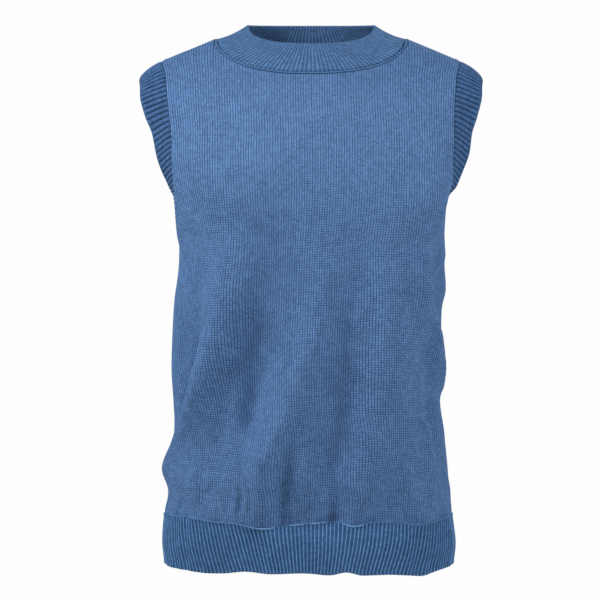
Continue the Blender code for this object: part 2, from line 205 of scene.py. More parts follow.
# A crease runs from one place over a bend to another, each in degrees round from the centre front
# (the wearer's left positive) and height, top end first. A lift below 0 is a trough. Lean above 0
# makes the flank towards the wearer's left the steeper one.
Crease = namedtuple(
    "Crease",
    "from_degrees from_height bend_degrees bend_height to_degrees to_height"
    " half_width end_half_width start_lift lift end_lift lean",
    defaults=(0,),
)
CREASES = tuple(Crease(*row) for row in (
    # wearer's right of the front: one long fold to the side seam, and the hollows beside it
    (-34, -0.245, -27, -0.385, -84, -0.49, 0.019, 0.015, 0.008, 0.016, 0.0055, -0.1),
    (-52, -0.28, -46, -0.385, -84, -0.47, 0.015, 0.005, -0.004, -0.015, -0.0045, 0.3),
    (-18, -0.285, -27, -0.39, -38, -0.48, 0.018, 0.028, -0.0035, -0.008, -0.0085, -0.4),
    (-21, -0.335, -27, -0.375, -37, -0.39, 0.007, 0.007, 0.0015, 0.002, -0.0005),
    (-64, -0.27, -60, -0.34, -69, -0.415, 0.016, 0.018, 0.0015, -0.009, -0.008, -0.2),
    # middle: the broad fold from the bust, with its tail above the hem
    (3, -0.24, 7, -0.345, -13, -0.475, 0.01, 0.017, 0.0015, 0.0155, 0.013, -0.3),
    (14, -0.285, 4, -0.355, 5, -0.425, 0.018, 0.006, -0.004, -0.0085, -0.001, -0.3),
    (12, -0.37, 9, -0.45, 5, -0.54, 0.008, 0.021, -0.0025, -0.011, -0.013),
    (-7, -0.425, -7, -0.47, -8, -0.545, 0.008, 0.008, 0.001, -0.0075, -0.0075, 0.1),
    (-13, -0.265, -13, -0.35, -21, -0.435, 0.028, 0.013, -0.0115, -0.0145, -0.013),
    (-13, -0.44, -13, -0.52, -18, -0.545, 0.014, 0.01, 0.008, 0.014, 0.004),
    (-2, -0.44, 2, -0.49, -5, -0.53, 0.005, 0.007, 0.001, 0.005, 0.0035),
    # wearer's left of the middle
    (28, -0.21, 29, -0.38, 16, -0.53, 0.026, 0.015, 0.008, 0.016, 0.0045, -0.2),
    (38, -0.295, 38, -0.395, 32, -0.465, 0.026, 0.027, 0.0025, 0.0125, 0.01),
    (34, -0.45, 31, -0.51, 22, -0.54, 0.016, 0.016, -0.003, -0.005, -0.0075, -0.1),
    (43, -0.19, 47, -0.3, 50, -0.38, 0.026, 0.011, 0.009, 0.0105, -0.0015, 0.1),
    # wearer's left side: two edges that lap towards the side seam
    (51, -0.17, 58, -0.24, 83, -0.285, 0.02, 0.015, 0.009, 0.0135, 0.0055, 0.2),
    (49, -0.255, 59, -0.35, 83, -0.395, 0.018, 0.01, 0.008, 0.015, 0.0055, 0.4),
    (63, -0.25, 67, -0.33, 87, -0.355, 0.021, 0.01, 0.004, -0.0085, -0.005, 0.1),
    (67, -0.385, 61, -0.42, 67, -0.46, 0.016, 0.014, 0.0025, -0.0095, -0.008),
    (55, -0.4, 58, -0.45, 55, -0.53, 0.012, 0.009, -0.0025, 0.0025, 0.0035),
    # small dents and pleats above the hem
    (-45, -0.495, -44, -0.535, -36, -0.495, 0.006, 0.005, -0.0025, -0.004, -0.001),
    (-58, -0.525, -62, -0.53, -54, -0.535, 0.008, 0.008, -0.0035, -0.0055, -0.0045),
    (-52, -0.485, -51, -0.495, -48, -0.515, 0.012, 0.011, -0.001, 0.0035, 0.0045),
    (-25, -0.505, -26, -0.52, -26, -0.54, 0.004, 0.004, 0.0015, 0.003, 0.001),
    (-21, -0.5, -20, -0.52, -22, -0.54, 0.004, 0.004, 0.002, 0.0045, 0.001),
    (4, -0.505, 4, -0.52, 3, -0.54, 0.004, 0.004, 0.0005, 0.004, 0.0045, 0.2),
    (7, -0.51, 9, -0.53, 7, -0.54, 0.004, 0.006, -0.0005, -0.0025, -0.0045),
    (40, -0.505, 37, -0.525, 36, -0.54, 0.009, 0.013, 0.001, -0.002, -0.0065),
    (58, -0.43, 53, -0.44, 56, -0.46, 0.012, 0.009, -0.002, 0.0035, 0.0025),
    # bust, fullest a little higher than its widest level
    (-36, -0.145, -27, -0.165, -14, -0.145, 0.03, 0.029, 0.005, 0.005, 0.005, 0.1),
    (18, -0.175, 30, -0.165, 44, -0.14, 0.03, 0.03, 0.005, 0.005, 0.005),
    (-35, -0.175, -31, -0.225, -36, -0.25, 0.028, 0.014, 0.005, 0.004, -0.0015, -0.1),
    (-49, -0.12, -51, -0.16, -68, -0.23, 0.02, 0.024, 0.0015, 0.006, 0.0065, -0.1),
    (-42, -0.205, -26, -0.23, -14, -0.23, 0.03, 0.025, 0.004, -0.0045, -0.005, 0.1),
    (14, -0.25, 24, -0.245, 49, -0.225, 0.024, 0.029, -0.002, -0.003, 0.004, 0.1),
    # chest
    (15, -0.06, 37, -0.055, 42, -0.12, 0.023, 0.024, -0.0015, -0.0015, 0.0015),
    (-14, -0.06, -19, -0.085, -21, -0.12, 0.016, 0.013, -0.001, -0.0015, -0.001),
    # back
    (152, -0.27, 150, -0.36, 172, -0.44, 0.017, 0.012, -0.001, -0.005, -0.003),
    (140, -0.255, 138, -0.35, 158, -0.455, 0.014, 0.01, 0.001, 0.004, 0.0035),
    (-146, -0.28, -148, -0.35, -174, -0.41, 0.015, 0.011, 0.001, 0.0045, 0.0025),
    (-160, -0.3, -160, -0.37, -178, -0.44, 0.013, 0.01, -0.001, -0.0035, -0.0015),
    (118, -0.255, 124, -0.3, 142, -0.33, 0.01, 0.008, 0.001, 0.003, 0.0015),
    (-116, -0.26, -124, -0.315, -140, -0.35, 0.01, 0.009, 0.001, 0.0035, 0.001),
    (-104, -0.33, -112, -0.38, -130, -0.41, 0.012, 0.01, -0.001, -0.004, -0.002),
    (126, -0.44, 136, -0.49, 152, -0.54, 0.013, 0.009, 0.001, 0.004, 0.003),
    (112, -0.45, 118, -0.5, 126, -0.545, 0.009, 0.007, -0.001, -0.0035, -0.0025),
    (-122, -0.45, -130, -0.5, -138, -0.545, 0.011, 0.008, -0.001, -0.004, -0.003),
    (-152, -0.47, -156, -0.51, -158, -0.545, 0.008, 0.006, 0.0005, 0.0025, 0.002),
    (168, -0.49, 168, -0.52, 168, -0.545, 0.006, 0.005, -0.0005, -0.002, -0.0015),
))
GIRTH_PER_DEGREE = 0.0023
CREASE_STEPS = 12  # straight steps along a crease
CREASE_REACH = 3  # a crease is felt this many half widths away

# Slight bumps that worn cloth keeps everywhere, as waves for each metre and how far those vary.
BUMP_WAVES = 9
BUMP_LIFT = 0.00012
BUMPS_ROUND, BUMPS_ROUND_VARY = 14, 9
BUMPS_UP, BUMPS_UP_VARY = 11, 8
GATHER_LIFT = 0.0007  # short ripples above the hem rib
GATHER_FADE = 0.016
GATHER_PACE, GATHER_SWAY_PACE, GATHER_SWAY = 0.52, 0.11, 1.7  # a ripple's turn for each degree round
GATHER_SWELL_PACE, GATHER_SWELL_START = 0.093, 0.6  # how its lift comes and goes round the body
SHOULDER_FADE = Fade(0, 0, 0.06)  # creases die out towards the shoulder line

# How far the hem seam and the hem's lower edge stray from level, round the hem.
Wave = namedtuple("Wave", "degrees seam edge")
HEM_WAVES = tuple(Wave(*row) for row in (
    (-180, 0.001, 0.001),
    (-150, -0.002, -0.001),
    (-120, 0.002, 0.002),
    (-90, 0.002, 0.000),
    (-63, 0.004, 0.000),
    (-48, 0.004, -0.001),
    (-38, 0.002, 0.000),
    (-26, 0.001, 0.003),
    (-14, -0.004, 0.001),
    (-2, 0.000, 0.002),
    (7, 0.002, 0.000),
    (14, -0.002, 0.003),
    (22, 0.002, -0.001),
    (32, 0.001, -0.001),
    (44, -0.003, -0.003),
    (52, -0.002, -0.005),
    (66, 0.001, -0.001),
    (90, 0.002, 0.000),
    (120, -0.002, -0.002),
    (150, 0.002, 0.001),
    (180, 0.001, 0.001),
))


# ---------------------------------------------------------------- curves and steps
def smooth_column(rows, column, at):
    """Values of a named column of a table at places of its first column, on a monotone cubic."""
    places = np.array([row[0] for row in rows])
    values = np.array([getattr(row, column) for row in rows])
    steps = np.diff(places)
    slopes = np.diff(values) / steps
    before, after = slopes[:-1], slopes[1:]
    level = before * after <= 0
    tangents = np.zeros(len(values))
    tangents[1:-1] = np.where(level, 0, 2 * before * after / np.where(level, 1, before + after))
    at = np.clip(at, places[0], places[-1])
    i = np.clip(np.searchsorted(places, at, side="right") - 1, 0, len(steps) - 1)
    t = (at - places[i]) / steps[i]
    cubic = values[i] * (1 + 2 * t) * (1 - t) ** 2 + values[i + 1] * t * t * (3 - 2 * t)
    return cubic + steps[i] * t * (1 - t) * (tangents[i] * (1 - t) - tangents[i + 1] * t)


def lengths_along(points, axis=0):
    """Length of cloth up to each point of a line, or of every line of a grid along an axis."""
    steps = np.linalg.norm(np.diff(points, axis=axis), axis=-1)
    start = np.zeros_like(np.take(steps, [0], axis=axis))
    return np.concatenate([start, np.cumsum(steps, axis=axis)], axis=axis)


def shares_along(points):
    lengths = lengths_along(points)
    return lengths / lengths[-1]


def even_steps(line, shares, *others):
    """A finely sampled line, and others sampled with it, at the given shares of the line's length."""
    along = shares_along(line)
    return [
        np.column_stack([np.interp(shares, along, values[:, axis]) for axis in range(3)])
        for values in (line, *others)
    ]


def unit(vectors):
    return vectors / np.maximum(np.linalg.norm(vectors, axis=-1, keepdims=True), 1e-12)


def eased(share):
    """0 to 1 with soft ends."""
    share = np.clip(share, 0, 1)
    return share * share * (3 - 2 * share)


def bell(offset, width):
    """1 at no offset, fading alike to both sides."""
    return np.exp(-((offset / width) ** 2))


def swell(shape, at):
    return shape.rise * bell(at - shape.middle, shape.width)


def faded(fade, at):
    """Rises softly from the fade's lowest share to 1."""
    return fade.lowest + (1 - fade.lowest) * eased((at - fade.start) / fade.length)


def curled(share):
    """How deep a rounded edge has sunk, 0 to 1, at a share of its way out."""
    return 1 - np.sqrt(1 - share**2)


def inset(share, margin):
    """A share from 0 to 1 kept a margin away from both ends."""
    return margin + (1 - 2 * margin) * share


# ---------------------------------------------------------------- form of the body
def shoulder_line(x):
    """Height of the shoulder crest at a distance from the centre plane."""
    out = np.abs(x)
    over_neck = CREST_Z - (CREST_Z - NECK_POINT_Z) * (out / NECK_HALF) ** 2
    return np.where(out < NECK_HALF, over_neck, NECK_POINT_Z - SHOULDER_SLOPE * (out - NECK_HALF))


def top_line(side, x):
    """Height where a panel ends: its neckline, and the shoulder seam beyond it."""
    out = np.minimum(np.abs(x) / NECK_HALF, 1)
    neckline = NECK_POINT_Z - NECK_DROP[side] * np.sqrt(1 - out**NECK_POWER)
    return np.where(out < 1, neckline, shoulder_line(x))


def section(side, height):
    """Sway, half width, depth and the turn at which the section meets its side or armhole seam."""
    level = np.minimum(height, TIP_Z)
    sway = smooth_column(SECTIONS, "sway", level)
    seam_half = smooth_column(SECTIONS, "half_width", level)
    depth = smooth_column(SECTIONS, "front_depth" if side == FRONT else "back_depth", level)
    below = np.clip((ARMHOLE_WIDEST_Z - level) / (ARMHOLE_WIDEST_Z - UNDERARM_Z), 0, 1)
    cut = 1 - below**2
    reach = ARMHOLE_REACH[side] / depth
    seam_turn = np.arccos(reach * np.sqrt(cut))
    swell = reach**2 * cut**2 * (1 + UNDERARM_EASE) / (cut + UNDERARM_EASE)
    return sway, seam_half / (1 - swell) ** (SECTION_POWER / 2), depth, seam_turn


def body_point(side, turn, height):
    """Points of the smooth outer face, turn radians round from the centre of the panel."""
    sway, half, depth, _ = section(side, height)
    x = half * np.sign(turn) * np.abs(np.sin(turn)) ** SECTION_POWER
    below = np.clip(shoulder_line(x) - height, 0, SHOULDER_ROUND) / SHOULDER_ROUND
    rounding = np.sqrt(1 - (1 - below) ** 2)
    y = side * (SEAM_HALF_GAP + depth * np.cos(turn) * rounding)
    return np.stack(np.broadcast_arrays(x + sway, y, height), axis=-1)


class Girth:
    """How stitch columns lie on one panel: lengths of cloth round each level, and their turns.

    Column 0 runs up the centre. Up to the underarm the side seam is the last column, and between the
    armholes the panel is only as wide as its armhole columns, so the columns run on almost upright
    and the armhole cuts across them.
    """

    SHARES = np.linspace(0, 1, 161)
    LEVELS = np.linspace(HEM_Z - 0.010, TIP_Z, 301)
    APART = 0.0005  # between a level and either end of the armhole's cut

    def __init__(self, side):
        self.side = side
        self.side_columns = PANEL_WALES[side] / 2
        self.armhole_columns = ARMHOLE_WALES[side] / 2
        lengths, rows = [], []
        for height in self.LEVELS:
            turns = np.linspace(0, math.pi / 2, FINE)
            along = lengths_along(body_point(side, turns, height))
            lengths.append(along[-1])
            rows.append(np.interp(self.SHARES, along / along[-1], turns))
        self.lengths, self.turns = np.array(lengths), np.array(rows)

        crowded = (1 - np.cos(np.linspace(0, math.pi, FINE))) / 2
        cut = UNDERARM_Z + (ARMHOLE_WIDEST_Z - UNDERARM_Z) * crowded**2
        below = self.LEVELS[self.LEVELS < UNDERARM_Z - self.APART]
        above = self.LEVELS[self.LEVELS > ARMHOLE_WIDEST_Z + self.APART]
        self.heights = np.concatenate([below, cut, above])
        to_seam = np.array([
            lengths_along(body_point(side, np.linspace(0, section(side, z)[3], FINE), z))[-1]
            for z in self.heights
        ])
        ends = UNDERARM_Z, ARMHOLE_WIDEST_Z
        counts = self.side_columns, self.armhole_columns
        between = np.interp(self.heights, ends, np.interp(ends, self.heights, to_seam) / counts)
        self.pitch = np.select(
            [self.heights <= UNDERARM_Z, self.heights >= ARMHOLE_WIDEST_Z],
            [to_seam / count for count in counts], between)
        self.cut_heights = cut
        self.cut_columns = np.interp(cut, self.heights, to_seam / self.pitch)
        self.cut_columns[[0, -1]] = counts

    def armhole_height(self, column):
        """Height at which the armhole cuts a column that lies outside the shoulders."""
        return np.interp(-np.abs(column), -self.cut_columns, self.cut_heights)

    def turn_at_length(self, length, height):
        """Turn at a length of cloth from the centre of the panel at a height."""
        length, height = np.broadcast_arrays(length, np.minimum(height, TIP_Z))
        row = (height - self.LEVELS[0]) / (self.LEVELS[1] - self.LEVELS[0])
        i = np.clip(row.astype(int), 0, len(self.LEVELS) - 2)
        up = row - i
        whole = self.lengths[i] * (1 - up) + self.lengths[i + 1] * up
        column = np.abs(length) / whole * (len(self.SHARES) - 1)
        j = np.clip(column.astype(int), 0, len(self.SHARES) - 2)
        out = column - j
        lower = self.turns[i, j] * (1 - out) + self.turns[i, j + 1] * out
        upper = self.turns[i + 1, j] * (1 - out) + self.turns[i + 1, j + 1] * out
        return np.sign(length) * (lower * (1 - up) + upper * up)

    def turn_at_column(self, column, height):
        """Turn of a column at a height. Above the armhole's widest level it runs on upright."""
        column, height = np.broadcast_arrays(column, height)
        level = np.minimum(height, ARMHOLE_WIDEST_Z)
        turn = self.turn_at_length(column * np.interp(level, self.heights, self.pitch), level)
        _, start_half, _, start_turn = section(self.side, ARMHOLE_WIDEST_Z)
        _, half, _, seam_turn = section(self.side, height)
        start = start_half * np.sin(start_turn) ** SECTION_POWER
        share = np.abs(np.sin(turn)) ** SECTION_POWER * start_half / start
        out = share * start + share**3 * (half * np.sin(seam_turn) ** SECTION_POWER - start)
        upper = np.arcsin(np.clip(out / half, 0, 1) ** (1 / SECTION_POWER))
        upper = np.where(np.abs(column) >= self.armhole_columns - TINY, seam_turn, upper)
        return np.where(height > ARMHOLE_WIDEST_Z, np.sign(column) * upper, turn)

    def turn_at_share(self, share, height):
        """Turn at a share, -1 to 1, of the cloth from side seam to side seam at a height."""
        column, height = np.broadcast_arrays(share * self.side_columns, height)
        return self.turn_at_column(column, height)


GIRTHS = {side: Girth(side) for side in (FRONT, BACK)}


def degrees_round(side, turn):
    """Degrees round the body from the centre front, the wearer's left positive."""
    degrees = np.degrees(turn)
    return degrees if side == FRONT else np.where(degrees < 0, -1, 1) * (180 - np.abs(degrees))


def crease_lift(degrees, height):
    """How far the creases move the cloth outwards."""
    across, height = np.broadcast_arrays(degrees * GIRTH_PER_DEGREE, height)
    lift = np.zeros(across.shape)
    steps = np.linspace(0, 1, CREASE_STEPS + 1)[:, None]
    for row in CREASES:
        start, bend, end = np.reshape(row[:6], (3, 2)) * (GIRTH_PER_DEGREE, 1)
        line = start * (1 - steps) ** 2 + bend * 2 * steps * (1 - steps) + end * steps**2
        reach = CREASE_REACH * max(row.half_width, row.end_half_width)
        low, high = line.min(axis=0) - reach, line.max(axis=0) + reach
        near = (across > low[0]) & (across < high[0]) & (height > low[1]) & (height < high[1])
        if not near.any():
            continue
        x, z = across[near], height[near]
        best, along, flank = np.full(x.shape, np.inf), np.zeros(x.shape), np.zeros(x.shape)
        for k, (start, run) in enumerate(zip(line[:-1], np.diff(line, axis=0))):
            share = np.clip(((x - start[0]) * run[0] + (z - start[1]) * run[1]) / (run @ run), 0, 1)
            out_x, out_z = x - start[0] - share * run[0], z - start[1] - share * run[1]
            away = np.hypot(out_x, out_z)
            closer = away < best
            best = np.where(closer, away, best)
            along = np.where(closer, (k + share) / (len(line) - 1), along)
            flank = np.where(closer, np.sign(run[0] * out_z - run[1] * out_x), flank)
        width = row.half_width + (row.end_half_width - row.half_width) * along
        width = width * (1 - row.lean * flank * np.sqrt(4 * along * (1 - along)))
        size = np.interp(along, (0, 0.5, 1), (row.start_lift, row.lift, row.end_lift))
        lift[near] += size * bell(best, width)
    return lift


BUMPS = RANDOM.uniform(-1, 1, (BUMP_WAVES, 4))


def bumps(degrees, height):
    x, lift = degrees * GIRTH_PER_DEGREE, 0
    for across, along, phase, size in BUMPS:
        waves = x * (BUMPS_ROUND + BUMPS_ROUND_VARY * across) + height * (BUMPS_UP + BUMPS_UP_VARY * along)
        lift = lift + BUMP_LIFT * (1 + size) * np.sin(2 * math.pi * (waves + phase))
    return lift


def gathers(degrees, height):
    """Short upright ripples where the body is drawn in above the hem rib."""
    fade = np.exp(-np.clip(height - HEM_SEAM_Z, 0, None) / GATHER_FADE)
    ripple = np.sin(degrees * GATHER_PACE + GATHER_SWAY * np.sin(degrees * GATHER_SWAY_PACE))
    return GATHER_LIFT * ripple * np.sin(degrees * GATHER_SWELL_PACE + GATHER_SWELL_START) * fade


def cloth_shift(side, turn, height):
    """Creases, bumps and gathers together."""
    degrees = degrees_round(side, turn)
    shift = crease_lift(degrees, height) + bumps(degrees, height) + gathers(degrees, height)
    return shift * faded(SHOULDER_FADE, shoulder_line(0) - height)


def outward_of(points):
    """Unit normals of a grid of points[across][up]."""
    across = np.gradient(points, axis=0)
    up = np.gradient(points, axis=1)
    return unit(np.cross(across, up))


# ---------------------------------------------------------------- relief of the knit
def ridge(phase, sharpness):
    """0 in the groove at each whole phase and 1 on the ridge between, flatter if sharper."""
    return 1 - np.abs(2 * (phase % 1) - 1) ** sharpness


def narrow(phase, times):
    """Ribs counted so that each crest takes a smaller part of its pitch."""
    off = phase % 1 - 0.5
    return np.floor(phase) + 0.5 + np.sign(off) * np.minimum(0.5, times * np.abs(off))


# ---------------------------------------------------------------- panels
Patch = namedtuple("Patch", "points u v bake material")


def column_tops(girth, columns):
    """Height at which each column of stitches ends on the neckline or shoulder seam."""
    top = np.full(len(columns), TIP_Z)
    for _ in range(TOP_ROUNDS):
        top = top_line(girth.side, body_point(girth.side, girth.turn_at_column(columns, top), top)[..., 0])
    return top


def neck_column(girth):
    """The column that meets the shoulder seam at the neck point."""
    columns = np.linspace(0, girth.armhole_columns, 4 * FINE)
    reach = body_point(girth.side, girth.turn_at_column(columns, TIP_Z), TIP_Z)[:, 0]
    return float(np.interp(NECK_HALF, reach, columns))


def hem_wave(girth, columns, which):
    degrees = degrees_round(girth.side, girth.turn_at_column(columns, HEM_SEAM_Z))
    return smooth_column(HEM_WAVES, which, degrees)


def outward_at(surface, side, turns, heights):
    """Unit normals of a surface given as a function of turn and height."""
    across = surface(side, turns + NUDGE_TURN, heights) - surface(side, turns - NUDGE_TURN, heights)
    up = surface(side, turns, heights + NUDGE_UP) - surface(side, turns, heights - NUDGE_UP)
    return unit(np.cross(across, up)) * -side


def creased(side, turns, heights):
    """Points of a panel's outer face with its creases."""
    smooth = body_point(side, turns, heights)
    outward = outward_at(body_point, side, turns, heights)
    return smooth + outward * cloth_shift(side, turns, heights)[..., None]


def worn_cloth(side, turns, heights):
    """Points of a panel's creased outer face and its outward directions."""
    turns, heights = np.broadcast_arrays(turns, heights)
    return creased(side, turns, heights), outward_at(creased, side, turns, heights)


def panel_sheets(side):
    """Three parts of a panel's creased face, each with its stitch columns."""
    girth = GIRTHS[side]
    count = ARMHOLE_WALES[side] * COLUMNS_PER_WALE
    columns = np.linspace(-girth.armhole_columns, girth.armhole_columns, count + 1)
    corner = neck_column(girth)
    nearest = np.argmin(np.abs(columns - corner))
    snap = corner - columns[nearest]
    near_neck = bell(np.abs(columns) - corner, NECK_COLUMNS_BENT) * np.sign(columns) * snap
    top = column_tops(girth, columns + near_neck)
    low = HEM_SEAM_Z + hem_wave(girth, columns, "seam")
    side_rows = 1 - (1 - np.linspace(0, 1, SIDE_ROWS + 1)) ** SIDE_ROW_SPACING
    lower = low[:, None] + (UNDERARM_Z - low[:, None]) * side_rows
    cut_rows = np.linspace(0, 1, CUT_ROWS + 1)[1:]
    middle = np.broadcast_to(UNDERARM_Z + (ARMHOLE_WIDEST_Z - UNDERARM_Z) * cut_rows,
                             (len(columns), CUT_ROWS))
    crowded = 1 - (1 - np.linspace(0, 1, FINE)) ** 2
    fine = ARMHOLE_WIDEST_Z + (top[:, None] - ARMHOLE_WIDEST_Z) * crowded
    line = body_point(side, girth.turn_at_column((columns + near_neck)[:, None], fine), fine)
    steps = np.linspace(0, 1, CHEST_ROWS + 1)[1:-1]
    lengths = lengths_along(line, axis=1)
    upper = []
    for along, heights in zip(lengths, fine):
        ends = along[-1] - EDGE_STEPS
        upper.append(np.interp(np.concatenate([steps * ends[0], ends]), along, heights))
    heights = np.concatenate([lower, middle, np.array(upper)], axis=1)
    bent = near_neck[:, None] * faded(NECK_BEND, heights)
    sheets = [(columns, heights, girth.turn_at_column(columns[:, None] + bent, heights))]

    outside = np.arange(0, PANEL_WALES[side] - ARMHOLE_WALES[side] + TINY, 2 / COLUMNS_PER_WALE) / 2
    own = (heights[0, : SIDE_ROWS + CUT_ROWS + 1] - low[0]) / (ARMHOLE_WIDEST_Z - low[0])
    evenly = np.linspace(0, 1, len(own) - len(EDGE_STEPS) + 1)[:-1]
    for hand in (-1, 1):
        columns = hand * (girth.armhole_columns + outside)
        top = girth.armhole_height(columns)
        low = HEM_SEAM_Z + hem_wave(girth, columns, "seam")
        reach = (top - low)[:, None]
        edge = 1 - EDGE_STEPS / reach
        close = np.concatenate([evenly * edge[:, :1], edge], axis=1)
        share = own + (close - own) * faded(CLOSE_ROWS, outside)[:, None]
        heights = low[:, None] + reach * share
        order = slice(None, None, hand)
        turns = girth.turn_at_column(columns[:, None], heights)
        sheets.append((columns[order], heights[order], turns[order]))
    return sheets


def edge_tree(lines):
    """Search tree of points close together on lines, and the number of the line of each."""
    places, owner = [], []
    for k, line in enumerate(lines):
        along = lengths_along(line)
        fine = np.linspace(0, along[-1], int(along[-1] / EDGE_POINT_STEP) + 2)
        places.append(np.column_stack([np.interp(fine, along, line[:, axis]) for axis in range(3)]))
        owner += [k] * len(fine)
    places = np.concatenate(places)
    tree = KDTree(len(places))
    for k, place in enumerate(places):
        tree.insert(place, k)
    tree.balance()
    return tree, np.array(owner)


def build_panel(side):
    """Patches of a panel, and the seam lines its bands are linked to."""
    girth = GIRTHS[side]
    sheets = panel_sheets(side)
    clothed = [worn_cloth(side, turns, heights) for _, heights, turns in sheets]
    (middle, middle_out), (right, right_out), (left, left_out) = clothed
    widest = SIDE_ROWS + CUT_ROWS
    columns = sheets[0][0]
    corner = np.argmin(np.abs(columns - neck_column(girth)))
    top = middle[:, -1]
    neck = slice(len(columns) - 1 - corner, corner + 1)
    armholes = {
        1: (np.concatenate([middle[-1, :widest:-1], left[:, -1]]),
            np.concatenate([middle_out[-1, :widest:-1], left_out[:, -1]])),
        -1: (np.concatenate([middle[0, :widest:-1], right[::-1, -1]]),
             np.concatenate([middle_out[0, :widest:-1], right_out[::-1, -1]])),
    }
    lines = [armholes[1][0], armholes[-1][0], top, left[-1], right[0],
             np.concatenate([right[:, 0], middle[:, 0], left[:, 0]])]
    widths = np.array((EDGE_ROLL, EDGE_ROLL, EDGE_ROLL, SIDE_ROLL, SIDE_ROLL, HEM_ROLL))
    tree, owner = edge_tree(lines)

    patches = []
    for (columns, heights, _), (cloth, outward) in zip(sheets, clothed):
        found = [tree.find(place)[1:] for place in cloth.reshape(-1, 3)]
        nearest = owner[np.array([index for index, _ in found])].reshape(heights.shape)
        away = np.array([distance for _, distance in found]).reshape(heights.shape)
        at_edge = 1 - np.clip(away / widths[nearest], 0, 1)
        sunk = JERSEY_WALL * curled(at_edge)
        by_armhole = (nearest < len(armholes)) * faded(WELT_FADE, heights)
        welt = swell(WELT, away) * by_armhole
        relief = WALE_DEPTH * (ridge(columns, WALE_SHARPNESS)[:, None] - 1) * faded(WALE_FADE, away)
        outer = cloth + outward * ((relief + welt) * (1 - at_edge) - sunk)[..., None]
        inner = cloth - outward * JERSEY_WALL
        u = np.broadcast_to(columns[:, None], heights.shape)
        v = lengths_along(cloth, axis=1) / COURSE
        across = (u / girth.side_columns + 1) / 2
        up = v * COURSE / BAKE_HEIGHT
        faces = (outer, 0, OUTER_BAKE), (inner, OUTER_BAKE, 1 - OUTER_BAKE)
        for material, (points, start, width) in enumerate(faces):
            bake = np.stack([start + width * inset(across, STRIP_MARGIN), inset(up, BAKE_MARGIN)], axis=-1)
            patches.append(Patch(points, u, v, bake, material))
    seams = {"neck": top[neck], 1: armholes[1], -1: armholes[-1]}
    return patches, seams


# ---------------------------------------------------------------- bands
def joined(front, back):
    """A closed loop from a front line and a back line that share both end places."""
    ends = (front[[0, -1]] + back[[0, -1]]) / 2
    return np.concatenate([ends[:1], front[1:-1], ends[1:], back[-2:0:-1], ends[:1]])


def band_surface(seam, bend, edge, shares):
    """Points across a band, which leaves its seam towards its bend and curves to its free edge."""
    seam = seam + unit(bend - seam) * BAND_GAP
    rows = [seam * (1 - t) ** 2 + bend * 2 * t * (1 - t) + edge * t * t for t in shares]
    return np.stack(rows, axis=1)


def ring_outward(surface):
    """Outward directions of a surface whose first and last columns are the same place."""
    padded = np.concatenate([surface[-2:-1], surface, surface[1:2]])
    return outward_of(padded)[1:-1]


def rim(outer, inner, beyond):
    """Rows that round off a wall's edge from its outer to its inner face."""
    centre, half = (outer + inner) / 2, (outer - inner) / 2
    reach = np.linalg.norm(half, axis=1, keepdims=True)
    turns = np.linspace(0, math.pi, RIM_STEPS + 2)[1:-1]
    return np.stack([centre + half * math.cos(a) + beyond * reach * math.sin(a) for a in turns], axis=1)


# Between two lengths from a band's foot, the stitches of some columns all take one phase of the rib.
Mark = namedtuple("Mark", "start end phase columns")


def wrapped(outer, inner, phase, strips, marks=()):
    """Patches of a wall that goes up its outer face, round its free edge and down its inner face."""
    lengths = lengths_along(outer, axis=1)
    over_edge = rim(outer[:, -1], inner[:, -1], unit(outer[:, -1] - outer[:, -2]))
    points = np.concatenate([outer, over_edge, inner[:, ::-1], outer[:, :1]], axis=1)
    over_edge = lengths[:, -1:] + RIM_COURSES * COURSE * np.arange(1, RIM_STEPS + 1)
    lengths = np.concatenate([lengths, over_edge, lengths[:, ::-1], lengths[:, :1]], axis=1)
    profile = shares_along(points[len(points) // 4])
    split = profile[outer.shape[1] + RIM_STEPS]
    height = np.where(profile <= split, profile / split * OUTER_STRIP,
                      OUTER_STRIP + (profile - split) / (1 - split) * (1 - OUTER_STRIP))
    cuts = np.linspace(0, len(phase) - 1, strips + 1).astype(int)
    patches = []
    for k, (first, last) in enumerate(zip(cuts[:-1], cuts[1:])):
        part = slice(first, last + 1)
        across = inset(np.linspace(0, 1, last - first + 1), BAKE_MARGIN)[:, None]
        bake = np.stack(np.broadcast_arrays(across, (k + inset(height, STRIP_MARGIN)) / strips), axis=-1)
        length = lengths[part]
        u = np.array(np.broadcast_to(phase[part, None], length.shape))
        for mark in marks:
            u[(length >= mark.start) & (length < mark.end) & mark.columns[part]] = mark.phase
        patches.append(Patch(points[part], u, length / COURSE, bake, 0))
    return patches


def neck_angles(seam):
    """Angles round the neck from the centre front."""
    return np.arctan2(seam[:, 0] / NECK_HALF, -seam[:, 1] / NECKBAND_REACH[FRONT])


